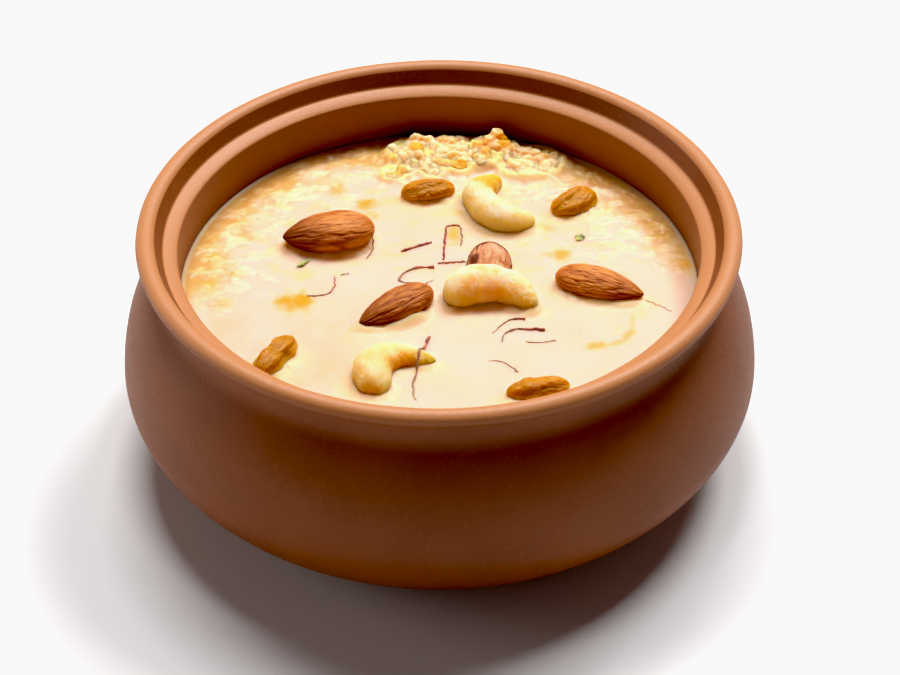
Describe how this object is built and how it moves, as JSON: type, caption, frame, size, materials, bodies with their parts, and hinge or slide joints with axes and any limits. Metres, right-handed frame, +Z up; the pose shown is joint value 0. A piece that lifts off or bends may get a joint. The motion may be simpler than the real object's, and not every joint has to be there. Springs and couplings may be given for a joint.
{
  "type": "kheer rice pudding in a clay bowl",
  "caption": "Creamy rice pudding in a round terracotta bowl with a rolled lip, topped with almonds, cashews, raisins and saffron; stands on its flat base.",
  "frame": {"origin": "middle of the bowl's flat base, where it stands", "axes": "+Z up, -Y towards the viewer who sees the almonds left and right, +X to that viewer's right"},
  "size_m": [0.1604, 0.1604, 0.066],
  "materials": {
    "terracotta": "matte",
    "kheer": "satin",
    "almond_skin": "satin",
    "almond_pale": "gloss",
    "cashew": "satin",
    "raisin": "satin"
  },
  "bodies": {
    "root": {"bowl": "terracotta", "kheer": "kheer", "almond_1": "almond_skin", "almond_2": "almond_skin", "almond_3": "almond_skin", "almond_4": "almond_pale", "cashew_1": "cashew", "cashew_2": "cashew", "cashew_3": "cashew", "raisin_1": "raisin", "raisin_2": "raisin", "raisin_3": "raisin", "raisin_4": "raisin"}
  },
  "joints": []
}
